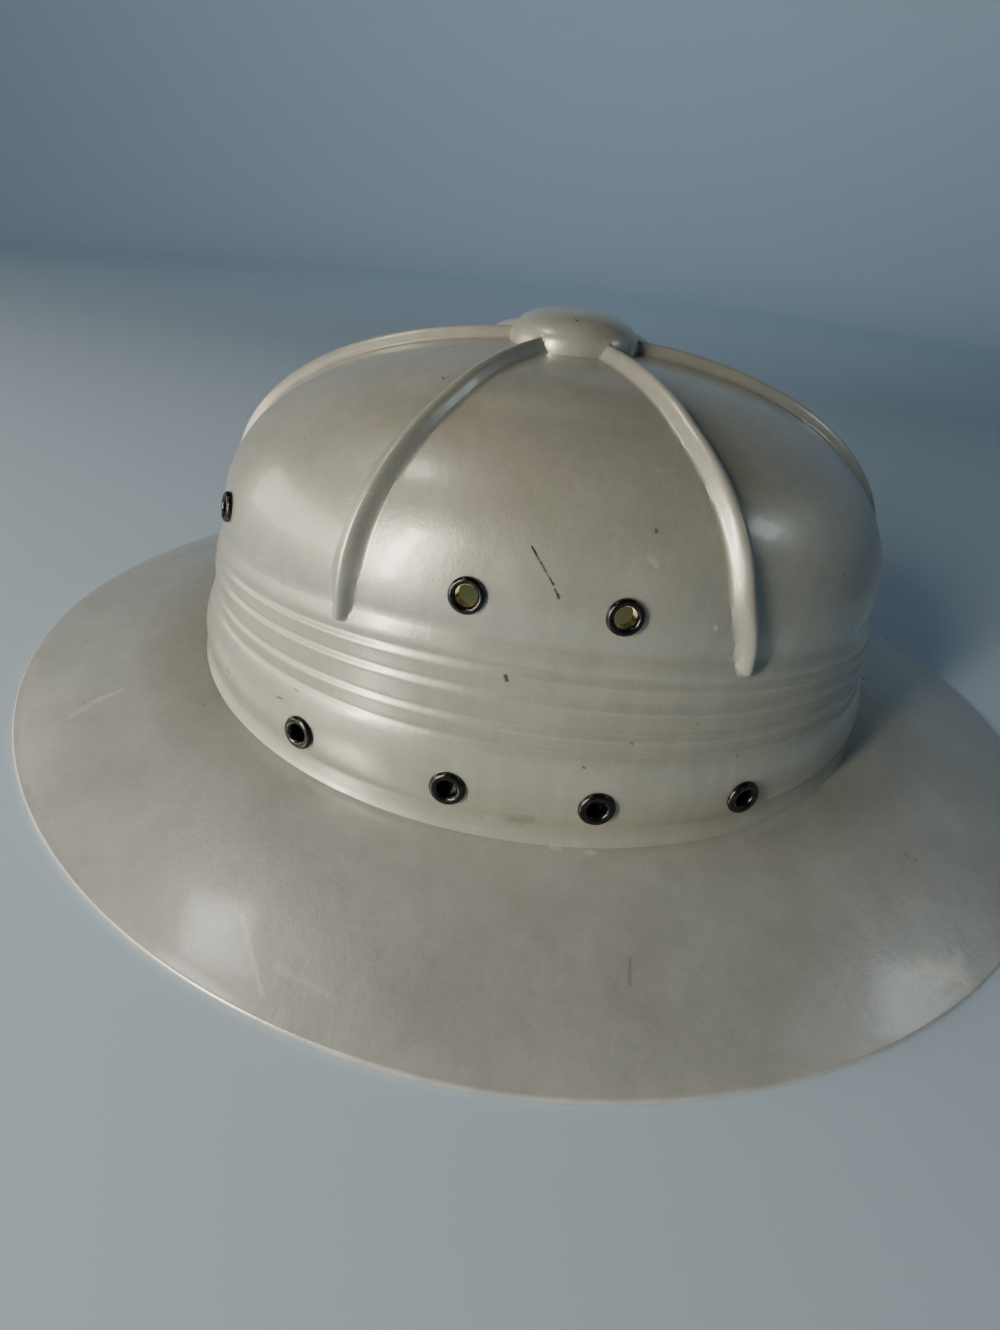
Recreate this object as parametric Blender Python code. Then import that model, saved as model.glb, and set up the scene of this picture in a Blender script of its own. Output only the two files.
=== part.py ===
# A moulded sun helmet: one plastic shell (brim, pleated band, six ribs and a crown button)
# and the metal eyelets and rivets pressed through it. Metres, +Z up.
# The hat stands on the flat rim of its brim at z = 0. Its front faces -Y and the wearer's left is +X.
# "turn" is the angle round the hat: 0 at the front, a quarter turn at the wearer's left.

import math

import bmesh
import bpy
from mathutils import Matrix, Vector

# Shell, outside sizes
BRIM_LENGTH = 0.340
BRIM_WIDTH = 0.2824
BRIM_CORNER = 1.93          # superellipse exponent of the brim's edge: 2 is a true ellipse, less is leaner
BRIM_LIP_RADIUS = 0.0009    # rounding of the brim's edge
BASE_LENGTH = 0.2204        # where the crown's wall runs into the brim
BASE_WIDTH = 0.1788
BASE_HEIGHT = 0.0127        # that line's mean height above the rim
BASE_FILLET = 0.0020
CROWN_CORNER = 2.04         # superellipse exponent of the crown's rings
WALL = 0.0020               # thickness of the moulding
BRIM_CURVE = 1.5            # how much of the brim's fall comes near its edge: 1 is a straight slope

# Plain wall under the band: it stands nearly upright to this height above the base line, then leans in
WALL_LENGTH = 0.2176
WALL_TURN = 0.0118

# Band of stepped pleats round the crown, heights above the base line
BAND_LENGTH = 0.2108        # outside, just under the lowest pleat
BAND_BOTTOM = 0.0231
BAND_TOP = 0.0456
PLEAT_EDGES = (1.0, 0.78, 0.54, 0.23, 0.0)  # upper edges of the pleats as shares of the band's height
PLEAT_LEDGE = 0.0008
PLEAT_TAPER = 0.0002
LEDGE_RISE = 0.0005
PANEL_RECESS = 0.0022       # the crown's panels lie this far inside the top pleat

# Crown
CROWN_HEIGHT = 0.0982       # top of the dome above the base line
CROWN_FULLNESS = 2.2        # exponent of the dome's profile: 2 is an ellipse, more has fuller shoulders
ROUND_TOP_RADIUS = 0.060    # inside this radius the oval crown eases into the round button
BASE_SADDLE = 0.00165       # the base line lies this much higher at front and back, lower at the sides
BAND_SADDLE = -0.0050       # the pleats dip at front and back and rise over the ears

# Ribs and button
RIBS = 6
RIB_SPREAD = 1.4            # degrees by which the side ribs stand nearer the front and the back than evenly
RIB_WIDTH = 0.0080
RIB_TOP_WIDTH = 0.0066
RIB_HEIGHT = 0.0030
RIB_END = 0.010             # length over which a rib sinks into the band
RIB_END_SHARE = 0.45        # share of a rib's height that is left where it meets the band
BUTTON_DIAMETER = 0.0350
BUTTON_HEIGHT = 0.0090

# Open eyelets on the crown and hollow rivets, closed at the back, round the plain wall
VENT_FLANGE = 0.0083
VENT_HOLE = 0.0042
VENT_HEIGHT = 0.0563        # above the base line, before the saddle
RIVET_FLANGE = 0.0092
RIVET_HOLE = 0.0046
RIVET_HEIGHT = 0.0117
EYELET_METAL = 0.0005       # thickness of the barrel and the flange's edge
EYELET_DOME = 0.0010        # the rolled flange stands this high
SEAT_GAP = 0.0003           # between an eyelet or rivet and the shell

# Places round the hat, in degrees of turn; each is repeated on the wearer's right
VENT_TURNS = {"front": 30.0, "side_fore": 80.8, "side_aft": 100.3}
RIVET_TURNS = {"fore_outer": 59.4, "fore_inner": 81.9, "aft_inner": 100.9, "aft_outer": 121.7}

# Fineness of the faceted solids
PANEL_COLUMNS = 7
DOME_RINGS = 8
BRIM_RINGS = 5
EYELET_SIDES = 12
SHARP_EDGE = 37             # edges that bend more than this many degrees stay crisp
SEAT_STEP = 0.0005          # how far apart the surface is measured to find a seat's outward direction

# A rib's section: share of its half width, share of its height
RIB_SECTION = ((-1.0, 0.0), (-0.55, 0.74), (0.0, 1.0), (0.55, 0.74), (1.0, 0.0))
# The button from its middle to its foot: share of its radius, share of its height
BUTTON_SECTIONS = ((0.42, 0.95), (0.78, 0.72), (0.96, 0.36))


def clear_scene():
    for old in list(bpy.data.objects):
        bpy.data.objects.remove(old)


def ledge_height(ledge):
    return BAND_BOTTOM + (BAND_TOP - BAND_BOTTOM) * PLEAT_EDGES[ledge]


def ledge_radius(ledge):
    # The outside just under a ledge; each pleat upwards stands a ledge and its taper further in
    above = len(PLEAT_EDGES) - 1 - ledge
    return BAND_LENGTH / 2 - above * (PLEAT_LEDGE + PLEAT_TAPER)


def panel_radius():
    return ledge_radius(0) - PANEL_RECESS


def dome_point(angle, inset=0.0):
    # A point of the crown's dome, as (radius, height above the base line); angle 0 is at the band
    power = 2 / CROWN_FULLNESS
    height = CROWN_HEIGHT - BAND_TOP - inset
    return (panel_radius() - inset) * math.cos(angle) ** power, BAND_TOP + height * math.sin(angle) ** power


def dome_angle(radius, inset=0.0):
    # The angle at which the dome has this radius
    return math.acos((radius / (panel_radius() - inset)) ** (CROWN_FULLNESS / 2))


def dome_height(radius):
    return dome_point(dome_angle(radius))[1]


def brim_point(share):
    # A point of the brim's upper side, from the base line (0) to the start of the lip (1)
    start = BASE_LENGTH / 2
    end = BRIM_LENGTH / 2 - BRIM_LIP_RADIUS
    fall = BASE_HEIGHT - WALL
    return start + (end - start) * share, -fall * share ** BRIM_CURVE


def outer_profile():
    # The outside from the button to the lip, as (radius, height above the base line, share of the rib's height)
    points = []
    button = BUTTON_DIAMETER / 2
    foot = dome_height(button)
    for share, rise in BUTTON_SECTIONS:
        points.append((button * share, foot + BUTTON_HEIGHT * rise, 0.0))
    steepest = dome_angle(button)
    rib_end = RIB_END / (CROWN_HEIGHT - BAND_TOP)
    for ring in range(DOME_RINGS):
        rise = steepest + (rib_end - steepest) * ring / (DOME_RINGS - 1)
        points.append((*dome_point(rise), 1.0))
    points.append((*dome_point(0), RIB_END_SHARE))
    for ledge in range(len(PLEAT_EDGES)):
        height, radius = ledge_height(ledge), ledge_radius(ledge)
        points.append((radius, height - LEDGE_RISE, 0.0))
        if ledge + 1 < len(PLEAT_EDGES):
            points.append((radius + PLEAT_TAPER, ledge_height(ledge + 1), 0.0))
    points.append((WALL_LENGTH / 2, WALL_TURN, 0.0))
    base = BASE_LENGTH / 2
    points.append((base - BASE_FILLET, BASE_FILLET, 0.0))
    halfway = math.sin(math.pi / 4)
    points.append((base - BASE_FILLET * halfway, BASE_FILLET * (1 - halfway), 0.0))
    for ring in range(BRIM_RINGS + 1):
        points.append((*brim_point(ring / BRIM_RINGS), 0.0))
    return points


def inner_profile():
    # The inside, from the rim's flat to the hollow under the button: an even wall under the outside
    points = []
    underside = [brim_point(ring / BRIM_RINGS) for ring in range(BRIM_RINGS - 1, 0, -1)]
    points += [(radius, height - WALL, 0.0) for radius, height in underside]
    base = BASE_LENGTH / 2 - BASE_FILLET - WALL
    points.append((base + BASE_FILLET, -WALL, 0.0))
    points.append((base, BASE_FILLET, 0.0))
    points.append((WALL_LENGTH / 2 - WALL, WALL_TURN, 0.0))
    foot = BAND_LENGTH / 2 - WALL
    points.append((foot, BAND_BOTTOM, 0.0))
    points.append((panel_radius() - WALL, BAND_TOP, 0.0))
    rings = DOME_RINGS - 2
    button = BUTTON_DIAMETER / 2 - WALL
    steepest = dome_angle(button, WALL)
    for ring in range(1, rings + 1):
        points.append((*dome_point(steepest * ring / rings, WALL), 1.0))
    roof = dome_height(BUTTON_DIAMETER / 2) + BUTTON_HEIGHT * BUTTON_SECTIONS[1][1] - WALL
    points.append((button * BUTTON_SECTIONS[1][0], roof, 0.0))
    return points


def width_share(radius):
    # How much narrower than long the shell is at a radius: round at the button, then oval
    crown = BASE_WIDTH / BASE_LENGTH
    brim = BRIM_WIDTH / BRIM_LENGTH
    base = BASE_LENGTH / 2
    button = BUTTON_DIAMETER / 2
    if radius <= base:
        ease = min(1, max(0, (radius - button) / (ROUND_TOP_RADIUS - button)))
        return 1 + (crown - 1) * ease
    return crown + (brim - crown) * (radius - base) / (BRIM_LENGTH / 2 - base)


def corner_share(radius, turn):
    # The crown is a little fuller than an ellipse between its ends and its sides, the brim's edge leaner
    base = BASE_LENGTH / 2
    reach = max(0, (radius - base) / (BRIM_LENGTH / 2 - base))
    exponent = CROWN_CORNER + (BRIM_CORNER - CROWN_CORNER) * min(1, reach)
    around = abs(math.cos(turn)) ** exponent + abs(math.sin(turn)) ** exponent
    return around ** (-1 / exponent)


def saddle(height, turn):
    # The rise of a line round the hat at front and back; it fades to nothing at the top and at the rim
    if height >= BAND_TOP:
        rise = BAND_SADDLE * max(0, 1 - (height - BAND_TOP) / (CROWN_HEIGHT - BAND_TOP))
    elif height >= 0:
        rise = BASE_SADDLE + (BAND_SADDLE - BASE_SADDLE) * height / BAND_TOP
    else:
        rise = BASE_SADDLE * max(0, 1 + height / (BASE_HEIGHT - WALL))
    return rise * math.cos(2 * turn)


def shell_point(radius, height, turn, lift=0.0, slope=(1.0, 0.0)):
    # A point of the shell; lift moves it along the profile's normal, given by slope as (radial, upright)
    share = width_share(radius)
    around = corner_share(radius, turn)
    x = radius * share * around * math.sin(turn)
    y = -radius * around * math.cos(turn)
    outward = Vector((math.sin(turn) / share, -math.cos(turn), 0)).normalized()
    place = Vector((x, y, BASE_HEIGHT + height + saddle(height, turn)))
    return place + lift * (slope[0] * outward + slope[1] * Vector((0, 0, 1)))


def profile_slope(points, index):
    # The outward normal of a profile at one of its points, as its radial and upright parts
    before = points[max(0, index - 1)]
    after = points[min(len(points) - 1, index + 1)]
    along = Vector((after[0] - before[0], after[1] - before[1])).normalized()
    return -along.y, along.x


def rib_turns():
    # The ribs stand at nearly even bearings seen from above; on the oval that is an uneven turn
    share = BASE_WIDTH / BASE_LENGTH
    turns = []
    for rib in range(RIBS):
        even = 2 * math.pi * rib / RIBS
        bearing = even - math.radians(RIB_SPREAD) * math.sin(2 * even)
        turns.append(math.atan2(math.sin(bearing) / share, math.cos(bearing)) % (2 * math.pi))
    return turns


def columns(radius, height):
    # The turns of one ring's points and each one's share of the rib's height: across each rib, then its panel
    turns = rib_turns()
    climb = min(1, max(0, (height - BAND_TOP) / (CROWN_HEIGHT - BAND_TOP)))
    half = (RIB_WIDTH + (RIB_TOP_WIDTH - RIB_WIDTH) * climb) / 2
    share = width_share(radius)
    spots = []
    for rib, turn in enumerate(turns):
        following = turns[rib + 1] if rib + 1 < RIBS else turns[0] + 2 * math.pi
        edges = []
        for middle in (turn, following):
            reach = radius * math.hypot(share * math.cos(middle), math.sin(middle))
            edges.append(min(half / reach, (following - turn) / 3))
        for offset, rise in RIB_SECTION:
            spots.append((turn + offset * edges[0], rise))
        start, end = turn + edges[0], following - edges[1]
        for step in range(1, PANEL_COLUMNS + 1):
            spots.append((start + (end - start) * step / (PANEL_COLUMNS + 1), 0.0))
    return spots


def profile_rings(profile, side):
    # One ring of points for each point of a profile; side is 1 outside and -1 inside, where the profile
    # runs the other way, so that the ribs rise outwards on both
    rings = []
    for index, (radius, height, rib) in enumerate(profile):
        slope = profile_slope(profile, index)
        ring = []
        for turn, rise in columns(radius, height):
            ring.append(shell_point(radius, height, turn, side * RIB_HEIGHT * rib * rise, slope))
        rings.append(ring)
    return rings


def lip_rings():
    # Round the brim's edge: its outermost line, then the flat rim that the hat stands on
    base = BRIM_LENGTH / 2
    sections = (
        (base, BRIM_LIP_RADIUS + (WALL - BRIM_LIP_RADIUS) / 2),
        (base - BRIM_LIP_RADIUS / 2, 0.0),
        (base - BRIM_LIP_RADIUS / 2 - WALL, 0.0),
    )
    rings = []
    for radius, height in sections:
        ring = [shell_point(radius, -BASE_HEIGHT, turn) for turn, _ in columns(radius, 0)]
        rings.append([Vector((place.x, place.y, height)) for place in ring])
    return rings


def shell_mesh():
    rings = profile_rings(outer_profile(), 1) + lip_rings() + profile_rings(inner_profile(), -1)
    top = dome_height(BUTTON_DIAMETER / 2) + BUTTON_HEIGHT + BASE_HEIGHT
    bm = bmesh.new()
    made = [[bm.verts.new(place) for place in ring] for ring in rings]
    count = len(made[0])
    for upper, lower in zip(made, made[1:]):
        for k in range(count):
            n = (k + 1) % count
            bm.faces.new((upper[k], lower[k], lower[n], upper[n]))
    crest = bm.verts.new((0, 0, top))
    roof = bm.verts.new((0, 0, top - WALL))
    for k in range(count):
        n = (k + 1) % count
        bm.faces.new((crest, made[0][k], made[0][n]))
        bm.faces.new((roof, made[-1][n], made[-1][k]))
    bmesh.ops.triangulate(bm, faces=bm.faces)
    mesh = bpy.data.meshes.new("shell")
    bm.to_mesh(mesh)
    bm.free()
    mesh.shade_smooth()
    mesh.set_sharp_from_angle(angle=math.radians(SHARP_EDGE))
    return mesh


def wall_radius(height):
    # The outside radius of the crown's plain wall at a height: under the band, or on the dome
    if height >= BAND_TOP:
        share = (height - BAND_TOP) / (CROWN_HEIGHT - BAND_TOP)
        return panel_radius() * (1 - share ** CROWN_FULLNESS) ** (1 / CROWN_FULLNESS)
    lean = max(0, (height - WALL_TURN) / (BAND_BOTTOM - WALL_TURN))
    return WALL_LENGTH / 2 + (BAND_LENGTH - WALL_LENGTH) / 2 * lean


def seat(height, turn):
    # The place and the outward normal of the crown's outside at a height above the base line
    middle = shell_point(wall_radius(height), height, turn)
    higher = shell_point(wall_radius(height + SEAT_STEP), height + SEAT_STEP, turn)
    further = shell_point(wall_radius(height), height, turn + SEAT_STEP / wall_radius(height))
    return middle, (further - middle).cross(higher - middle).normalized()


def seat_matrix(height, turn):
    # A frame at the seat whose +Z points out of the shell
    place, normal = seat(height, turn)
    return Matrix.Translation(place) @ normal.to_track_quat("Z", "Y").to_matrix().to_4x4()


def eyelet_section(flange, hole):
    # Half the eyelet's section as (radius, depth), from the barrel's end over the rolled flange to the back
    barrel = hole / 2 + EYELET_METAL
    inside = -(WALL + SEAT_GAP)
    reach = flange / 2
    middle = (barrel + reach) / 2
    return (
        (hole / 2, inside),
        (hole / 2, SEAT_GAP + EYELET_METAL),
        (hole / 2 + EYELET_DOME / 2, SEAT_GAP + EYELET_DOME),
        (middle, SEAT_GAP + EYELET_DOME),
        (reach, SEAT_GAP + EYELET_METAL / 2),
        (reach, SEAT_GAP),
        (barrel, SEAT_GAP),
        (barrel, inside),
        (middle, inside),
        (middle, inside - EYELET_METAL),
    )


def eyelet_mesh(name, flange, hole, closed):
    # An open eyelet's section joins its own start; a closed rivet's is capped by a floor and a back
    section = eyelet_section(flange, hole)
    if not closed:
        section = ((hole / 2, section[-1][1]),) + section[1:]
    bm = bmesh.new()
    loops = []
    for side in range(EYELET_SIDES):
        angle = 2 * math.pi * side / EYELET_SIDES
        loops.append([bm.verts.new((r * math.cos(angle), r * math.sin(angle), z)) for r, z in section])
    for side in range(EYELET_SIDES):
        here, there = loops[side], loops[(side + 1) % EYELET_SIDES]
        for k in range(len(section) - 1):
            bm.faces.new((here[k], here[k + 1], there[k + 1], there[k]))
        if not closed:
            bm.faces.new((here[-1], here[0], there[0], there[-1]))
    if closed:
        bm.faces.new([loop[0] for loop in loops])
        bm.faces.new([loop[-1] for loop in loops])
    bmesh.ops.recalc_face_normals(bm, faces=bm.faces)
    mesh = bpy.data.meshes.new(name)
    bm.to_mesh(mesh)
    bm.free()
    mesh.shade_smooth()
    mesh.set_sharp_from_angle(angle=math.radians(SHARP_EDGE))
    return mesh


def material(name, color, roughness, metallic=0.0):
    made = bpy.data.materials.new(name)
    made.use_nodes = True
    shader = made.node_tree.nodes["Principled BSDF"]
    shader.inputs["Base Color"].default_value = (*color, 1)
    shader.inputs["Roughness"].default_value = roughness
    shader.inputs["Metallic"].default_value = metallic
    return made


def add_object(name, mesh, look=None):
    made = bpy.data.objects.new(name, mesh)
    bpy.context.scene.collection.objects.link(made)
    if look:
        mesh.materials.clear()
        mesh.materials.append(look)
    return made


def spool_mesh(name, flange, hole):
    # The hole for one eyelet: a round bore, and on both sides the flat seat its flange is pressed on
    bore = hole / 2 + EYELET_METAL + SEAT_GAP
    reach = flange / 2 + SEAT_GAP
    far = WALL + RIB_HEIGHT
    section = ((reach, far), (reach, 0), (bore, 0), (bore, -WALL), (reach, -WALL), (reach, -far))
    bm = bmesh.new()
    rings = []
    for radius, depth in section:
        level = Matrix.Translation((0, 0, depth))
        ring = bmesh.ops.create_circle(bm, segments=EYELET_SIDES, radius=radius, matrix=level)
        rings.append(ring["verts"])
    for upper, lower in zip(rings, rings[1:]):
        for k in range(EYELET_SIDES):
            n = (k + 1) % EYELET_SIDES
            bm.faces.new((upper[k], lower[k], lower[n], upper[n]))
    bm.faces.new(rings[0])
    bm.faces.new(rings[-1])
    bmesh.ops.recalc_face_normals(bm, faces=bm.faces)
    mesh = bpy.data.meshes.new(name)
    bm.to_mesh(mesh)
    bm.free()
    return mesh


def add_hole(shell, name, mesh, matrix):
    cutter = add_object(name, mesh)
    cutter.matrix_world = matrix
    cutter.hide_render = True
    cutter.display_type = "WIRE"
    cut = shell.modifiers.new(name, "BOOLEAN")
    cut.operation = "DIFFERENCE"
    cut.solver = "EXACT"
    cut.object = cutter


def add_eyelets(shell, look):
    rows = (
        ("vent_eyelet", VENT_FLANGE, VENT_HOLE, VENT_HEIGHT, VENT_TURNS, False),
        ("lower_rivet", RIVET_FLANGE, RIVET_HOLE, RIVET_HEIGHT, RIVET_TURNS, True),
    )
    for kind, flange, hole, height, spots, closed in rows:
        body = eyelet_mesh(kind, flange, hole, closed)
        spool = spool_mesh(f"{kind}_seat", flange, hole)
        for side, sign in (("left", 1), ("right", -1)):
            for spot, degrees in spots.items():
                matrix = seat_matrix(height, sign * math.radians(degrees))
                name = f"{kind}_{side}_{spot}"
                add_object(name, body, look).matrix_world = matrix
                add_hole(shell, f"seat_{name}", spool, matrix)


def main():
    clear_scene()
    plastic = material("grey_moulded_plastic", (0.46, 0.44, 0.39), 0.42)
    enamel = material("black_enamelled_metal", (0.012, 0.012, 0.013), 0.25, 0.4)
    shell = add_object("shell", shell_mesh(), plastic)
    add_eyelets(shell, enamel)


main()
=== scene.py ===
import math

import bmesh
import bpy
import numpy as np
from mathutils import Euler, Matrix, Vector


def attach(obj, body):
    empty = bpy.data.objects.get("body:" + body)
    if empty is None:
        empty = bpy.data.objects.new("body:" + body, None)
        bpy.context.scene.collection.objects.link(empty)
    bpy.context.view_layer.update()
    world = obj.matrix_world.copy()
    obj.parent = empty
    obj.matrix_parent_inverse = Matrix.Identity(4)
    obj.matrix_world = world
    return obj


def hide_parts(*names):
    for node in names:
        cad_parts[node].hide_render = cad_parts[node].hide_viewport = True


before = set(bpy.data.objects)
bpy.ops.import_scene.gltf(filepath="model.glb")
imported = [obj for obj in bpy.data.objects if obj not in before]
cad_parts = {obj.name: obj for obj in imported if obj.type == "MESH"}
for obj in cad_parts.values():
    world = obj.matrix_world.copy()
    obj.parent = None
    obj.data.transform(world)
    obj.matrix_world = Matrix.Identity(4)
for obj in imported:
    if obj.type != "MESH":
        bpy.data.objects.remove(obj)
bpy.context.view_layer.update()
mm = 0.001
print("frame loaded:", len(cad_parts), "nodes")


def toLinear(hexColour):
    parts = [int(hexColour[k:k + 2], 16) / 255 for k in (1, 3, 5)]
    return tuple(p / 12.92 if p <= 0.04045 else ((p + 0.055) / 1.055) ** 2.4 for p in parts) + (1.0,)


def fillSockets(tree, node, sockets):
    # a link is written "@node" or "@node.output", anything else is the socket's own value
    for key, value in sockets.items():
        if isinstance(value, str) and value.startswith("@"):
            source, _, output = value[1:].partition(".")
            outputs = tree.nodes[source].outputs
            tree.links.new(outputs[output] if output else outputs[0], node.inputs[key])
        else:
            node.inputs[key].default_value = value


def addNode(tree, name, kind, sockets=None, **settings):
    node = tree.nodes.new(kind)
    node.name = node.label = name
    for key, value in settings.items():
        setattr(node, key, value)
    fillSockets(tree, node, sockets or {})


def addObject(name, data):
    made = bpy.data.objects.new(name, data)
    bpy.context.scene.collection.objects.link(made)
    return made


def meshFrom(bm, name):
    mesh = bpy.data.meshes.new(name)
    bm.to_mesh(mesh)
    bm.free()
    return mesh


# the photograph's place, turn and lens
view = {
    "place": (0.19436, -0.00467, 0.14096),  # metres
    "turn": (55.275, -5.314, 96.697),  # degrees
    "lens": 17.418, "sensor": 36.0,  # millimetres
    "shift": (0.0116, -0.0153),
    "nearest": 0.01,
}

cameraData = bpy.data.cameras.new("camera")
cameraData.lens = view["lens"]
cameraData.sensor_width = view["sensor"]
cameraData.shift_x, cameraData.shift_y = view["shift"]
cameraData.clip_start = view["nearest"]
camera = addObject("camera", cameraData)
camera.location = view["place"]
camera.rotation_euler = Euler([math.radians(angle) for angle in view["turn"]])
bpy.context.scene.camera = camera
print("camera set")


plasticLook = {
    "lit": "#AFB0A5",  # grey of the moulding
    "deep": "#A2A499",  # the same where the pigment is thicker
    "wornAndGlint": "#D3CCBC",  # stress-whitened and scuffed plastic, and painted glints and highlight patches
    "dirtAndShade": "#4B4536",  # painted shade darkening the creases, over the dusting and grease held there, and small grime marks
    "film": "#BACBD8",  # painted sheen laid on the brim: paler and bluer, for the light it reflects
    "speck": "#2A2620",  # grit caught in the plastic, and black rubs
    "pearl": 0.42,  # share of the light thrown back by the pearl pigment
    "roughness": (0.27, 0.39),
    # shares of each tone where it is faint and where it is full
    "dustShare": (0.05, 0.22), "filmShare": (0.17, 0.30), "rubShare": (0.15, 0.6), "speckShare": 0.75,
    "scratchShare": 0.3,
    # heights in millimetres over which the rim's rub and the brim's painted sheen fade out
    "rubFade": (1.2, 3.0), "brimSheenFade": (10.5, 13.5),
    # pattern sizes in millimetres, so that a texture's scale is 1000 over its size
    "mottleMm": 26.0, "fineMm": 0.625,  # the pigment's clouds and its own fine grain
    "streakMm": 3.2, "streakDraw": 0.07,  # flow streaks, drawn out up the wall
    "grainMm": 1.1,  # the mould's spark texture, drawn coarser than it is so that it shows
    "waveMm": 29.4,  # slow waviness of the thin wall
    "glossMm": 16.1, "shadeAndDustMm": 9.1, "rubMm": 7.14,  # patches of each
    "raggedMm": 1.11,  # broken edge of a mark
    "speckMm": 13.9,  # one speck in a cell of this size
    "scratchMm": 10.53, "scratchPatchMm": 26.3,
}

# single scuffs and stains, and a few painted glints and highlight patches: the two ends on the shell in
# metres, half width in millimetres, tone, strength
plasticMarks = [
    ((0.0744, -0.0036, 0.0838), (0.0777, 0.0017, 0.0778), 0.30, "speck", 0.95),
    ((0.0781, 0.0022, 0.0769), (0.0785, 0.0028, 0.0761), 0.30, "speck", 0.8),
    ((0.0785, 0.0030, 0.0759), (0.0786, 0.0033, 0.0754), 0.40, "speck", 0.8),
    ((0.0830, -0.0052, 0.0568), (0.0830, -0.0049, 0.0558), 0.60, "speck", 0.9),
    ((0.0576, -0.0830, 0.0260), (0.0583, -0.0824, 0.0253), 0.50, "dirtAndShade", 0.7),
    ((0.0712, -0.0630, 0.0304), (0.0719, -0.0616, 0.0308), 0.35, "speck", 0.7),
    ((0.0724, -0.0578, 0.0350), (0.0729, -0.0566, 0.0351), 0.30, "speck", 0.7),
    ((0.0878, 0.0010, 0.0172), (0.0880, 0.0050, 0.0180), 2.2, "dirtAndShade", 0.28),
    ((0.0114, -0.0005, 0.1179), (0.0117, -0.0001, 0.1178), 0.35, "speck", 0.9),
    ((0.0350, -0.0300, 0.1053), (0.0352, -0.0297, 0.1051), 0.35, "speck", 0.8),
    ((0.0823, 0.0254, 0.0425), (0.0824, 0.0258, 0.0420), 0.30, "speck", 0.8),
    ((0.0850, 0.0154, 0.0354), (0.0850, 0.0158, 0.0352), 0.30, "speck", 0.7),
    ((0.0685, 0.0211, 0.0885), (0.0687, 0.0212, 0.0882), 0.45, "speck", 0.7),
    ((0.0724, 0.0207, 0.0837), (0.0730, 0.0220, 0.0830), 0.80, "wornAndGlint", 0.5),
    ((0.0739, 0.0374, 0.0709), (0.0739, 0.0377, 0.0704), 0.60, "wornAndGlint", 0.7),
    # painted glints along the crown's foot, in the pale tone
    ((0.0894, 0.0120, 0.0111), (0.0894, 0.0138, 0.0111), 0.9, "wornAndGlint", 0.6),
    ((0.0890, 0.0208, 0.0111), (0.0890, 0.0222, 0.0111), 0.9, "wornAndGlint", 0.6),
    ((0.0658, -0.1287, 0.0065), (0.0596, -0.1242, 0.0084), 1.3, "wornAndGlint", 0.55),
    ((0.0596, -0.1242, 0.0084), (0.0555, -0.1189, 0.0100), 0.9, "wornAndGlint", 0.65),
    ((0.1165, -0.0556, 0.0057), (0.1311, -0.0454, 0.0029), 0.6, "wornAndGlint", 0.6),
    ((0.1254, -0.0447, 0.0044), (0.1301, -0.0303, 0.0039), 0.8, "wornAndGlint", 0.35),
    ((0.1129, 0.0305, 0.0077), (0.1183, 0.0303, 0.0066), 0.4, "dirtAndShade", 0.28),
    # a pale scuff on the brim's right with a painted highlight patch laid over it
    ((0.1008, 0.1008, 0.0044), (0.1009, 0.1095, 0.0030), 2.6, "wornAndGlint", 0.6),
    ((0.0961, 0.1114, 0.0037), (0.1044, 0.1032, 0.0032), 1.2, "wornAndGlint", 0.5),
]


def mottledTone(tree, p):
    # pigment that is thicker here and thinner there, with flow streaks up the wall and a fine grain
    addNode(tree, "mottle", "ShaderNodeTexNoise", {"Vector": "@spot.Object", "Scale": 1000 / p["mottleMm"],
            "Detail": 6.0, "Roughness": 0.7})
    addNode(tree, "cloud", "ShaderNodeMapRange", {"Value": "@mottle.Fac", "From Min": 0.32, "From Max": 0.68})
    addNode(tree, "body", "ShaderNodeMix", {0: "@cloud.Result", 6: toLinear(p["deep"]),
            7: toLinear(p["lit"])}, data_type="RGBA")
    addNode(tree, "upright", "ShaderNodeMapping", {"Vector": "@spot.Object",
            "Scale": (1.0, 1.0, p["streakDraw"])})
    addNode(tree, "streak", "ShaderNodeTexNoise", {"Vector": "@upright", "Scale": 1000 / p["streakMm"],
            "Detail": 3.0, "Roughness": 0.55})
    addNode(tree, "streakTone", "ShaderNodeMapRange", {"Value": "@streak.Fac", "From Min": 0.3,
            "From Max": 0.7, "To Min": 0.955, "To Max": 1.045})
    addNode(tree, "fine", "ShaderNodeTexNoise", {"Vector": "@spot.Object", "Scale": 1000 / p["fineMm"],
            "Detail": 2.0})
    addNode(tree, "fineTone", "ShaderNodeMapRange", {"Value": "@fine.Fac", "From Min": 0.3, "From Max": 0.7,
            "To Min": 0.95, "To Max": 1.05})
    addNode(tree, "bothTones", "ShaderNodeMath", {0: "@streakTone.Result", 1: "@fineTone.Result"},
            operation="MULTIPLY")
    addNode(tree, "streaked", "ShaderNodeVectorMath", {0: "@body.Result", "Scale": "@bothTones"},
            operation="SCALE")
    return "@streaked.Vector"


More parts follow.
